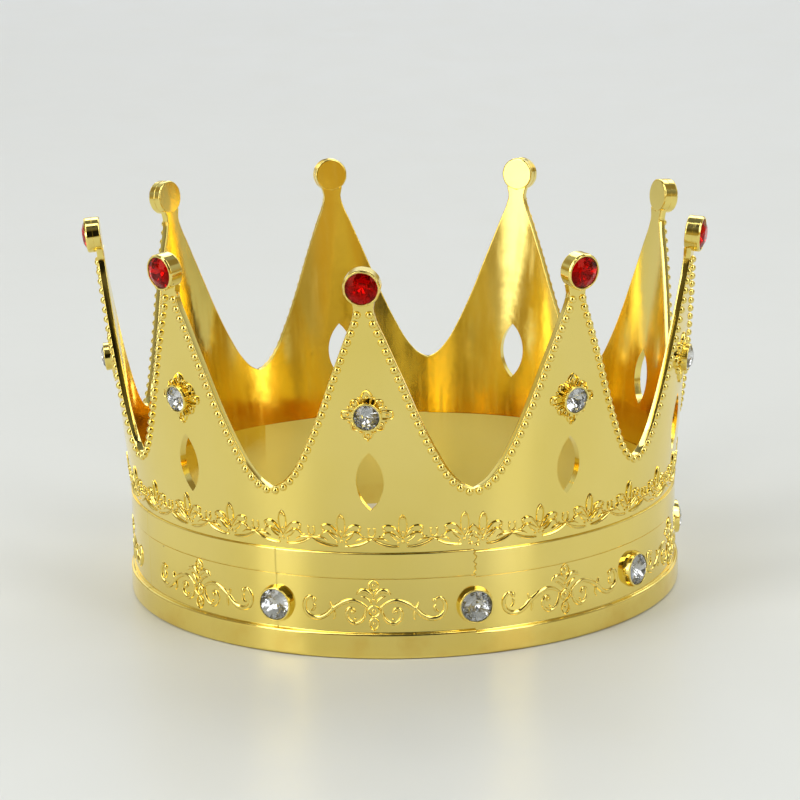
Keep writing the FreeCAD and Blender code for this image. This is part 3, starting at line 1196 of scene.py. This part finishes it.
def make_floor():
    """The table top, which ends a little in front of the crown."""
    work = bmesh.new()
    bmesh.ops.create_grid(work, x_segments=8, y_segments=8, size=TABLE_HALF)
    bmesh.ops.translate(work, verts=work.verts, vec=(0, TABLE_HALF - TABLE_FRONT, 0))
    mesh = bpy.data.meshes.new("table_top")
    work.to_mesh(mesh)
    work.free()
    mesh.materials.append(pale_table())
    table_top = bpy.data.objects.new("table_top", mesh)
    bpy.context.scene.collection.objects.link(table_top)


def add_softbox(name, azimuth, elevation, distance, size, power):
    """A soft rectangular light, aimed at the crown."""
    data = bpy.data.lights.new(name, "AREA")
    data.shape = "RECTANGLE"
    data.size, data.size_y = size
    data.energy = power
    lamp = bpy.data.objects.new(name, data)
    lamp.location = distance * towards(azimuth, elevation)
    lamp.rotation_euler = (Vector(LIGHT_AIM) - lamp.location).to_track_quat("-Z", "Y").to_euler()
    bpy.context.scene.collection.objects.link(lamp)


def make_world():
    """The room that the gold mirrors: pale at the back, dark at the front and overhead, with a
    brown horizon and some patches that are brighter or darker."""
    world = bpy.data.worlds.new("studio")
    bpy.context.scene.world = world
    world.use_nodes = True
    tree = NodeTree(world.node_tree)
    direction = tree.add("TexCoord", {}).outputs["Generated"]
    height = tree.part(direction, "Z")
    colour = tree.mix(tree.remap(tree.part(direction, "Y"), *ROOM_DEPTH), ROOM_FRONT, ROOM_BACK)
    colour = tree.mix(tree.remap(height, *CEILING_HEIGHT), colour, ROOM_CEILING)
    colour = tree.mix(tree.remap(height, *HORIZON_HEIGHT), ROOM_HORIZON, colour)
    for azimuth, elevation, reach, softness, patch in ROOM_PATCHES:
        aim = {0: direction, 1: towards(azimuth, elevation)}
        facing = tree.add("VectorMath", aim, operation="DOT_PRODUCT").outputs["Value"]
        edges = [math.cos(math.radians(angle)) for angle in (reach + softness, reach)]
        colour = tree.mix(tree.remap(facing, *edges), colour, patch)
    background = tree.add("Background", {"Color": colour})
    tree.add("OutputWorld", {"Surface": background.outputs["Background"]})


def towards(azimuth, elevation):
    """The direction at an azimuth from the front, -Y, towards +X, and an elevation, in degrees."""
    a, e = math.radians(azimuth), math.radians(elevation)
    return Vector((math.cos(e) * math.sin(a), -math.cos(e) * math.cos(a), math.sin(e)))


def make_camera():
    data = bpy.data.cameras.new("camera")
    data.lens = CAMERA_LENS
    data.sensor_width = CAMERA_SENSOR
    data.clip_start = CAMERA_NEAR
    camera = bpy.data.objects.new("camera", data)
    bpy.context.scene.collection.objects.link(camera)
    a, roll = math.radians(CAMERA_AZIMUTH), math.radians(CAMERA_ROLL)
    back = towards(CAMERA_AZIMUTH, CAMERA_ELEVATION)
    right = Vector((math.cos(a), math.sin(a), 0))
    up = back.cross(right)
    across = right * math.cos(roll) - up * math.sin(roll)
    above = right * math.sin(roll) + up * math.cos(roll)
    target = right * CAMERA_TARGET[0] + Vector((0, 0, CAMERA_TARGET[1]))
    place = (target + back * CAMERA_DISTANCE) * MM
    camera.matrix_world = Matrix.Translation(place) @ Matrix((across, above, back)).transposed().to_4x4()
    bpy.context.scene.camera = camera


def main():
    make_body(plated_gold())
    make_all_stones()
    dress_glue()
    make_floor()
    for softbox in SOFTBOXES:
        add_softbox(*softbox)
    make_world()
    make_camera()
    scene = bpy.context.scene
    scene.view_settings.view_transform = "Standard"
    scene.cycles.max_bounces = 16
    scene.cycles.glossy_bounces = 12
    scene.cycles.transmission_bounces = 12


main()
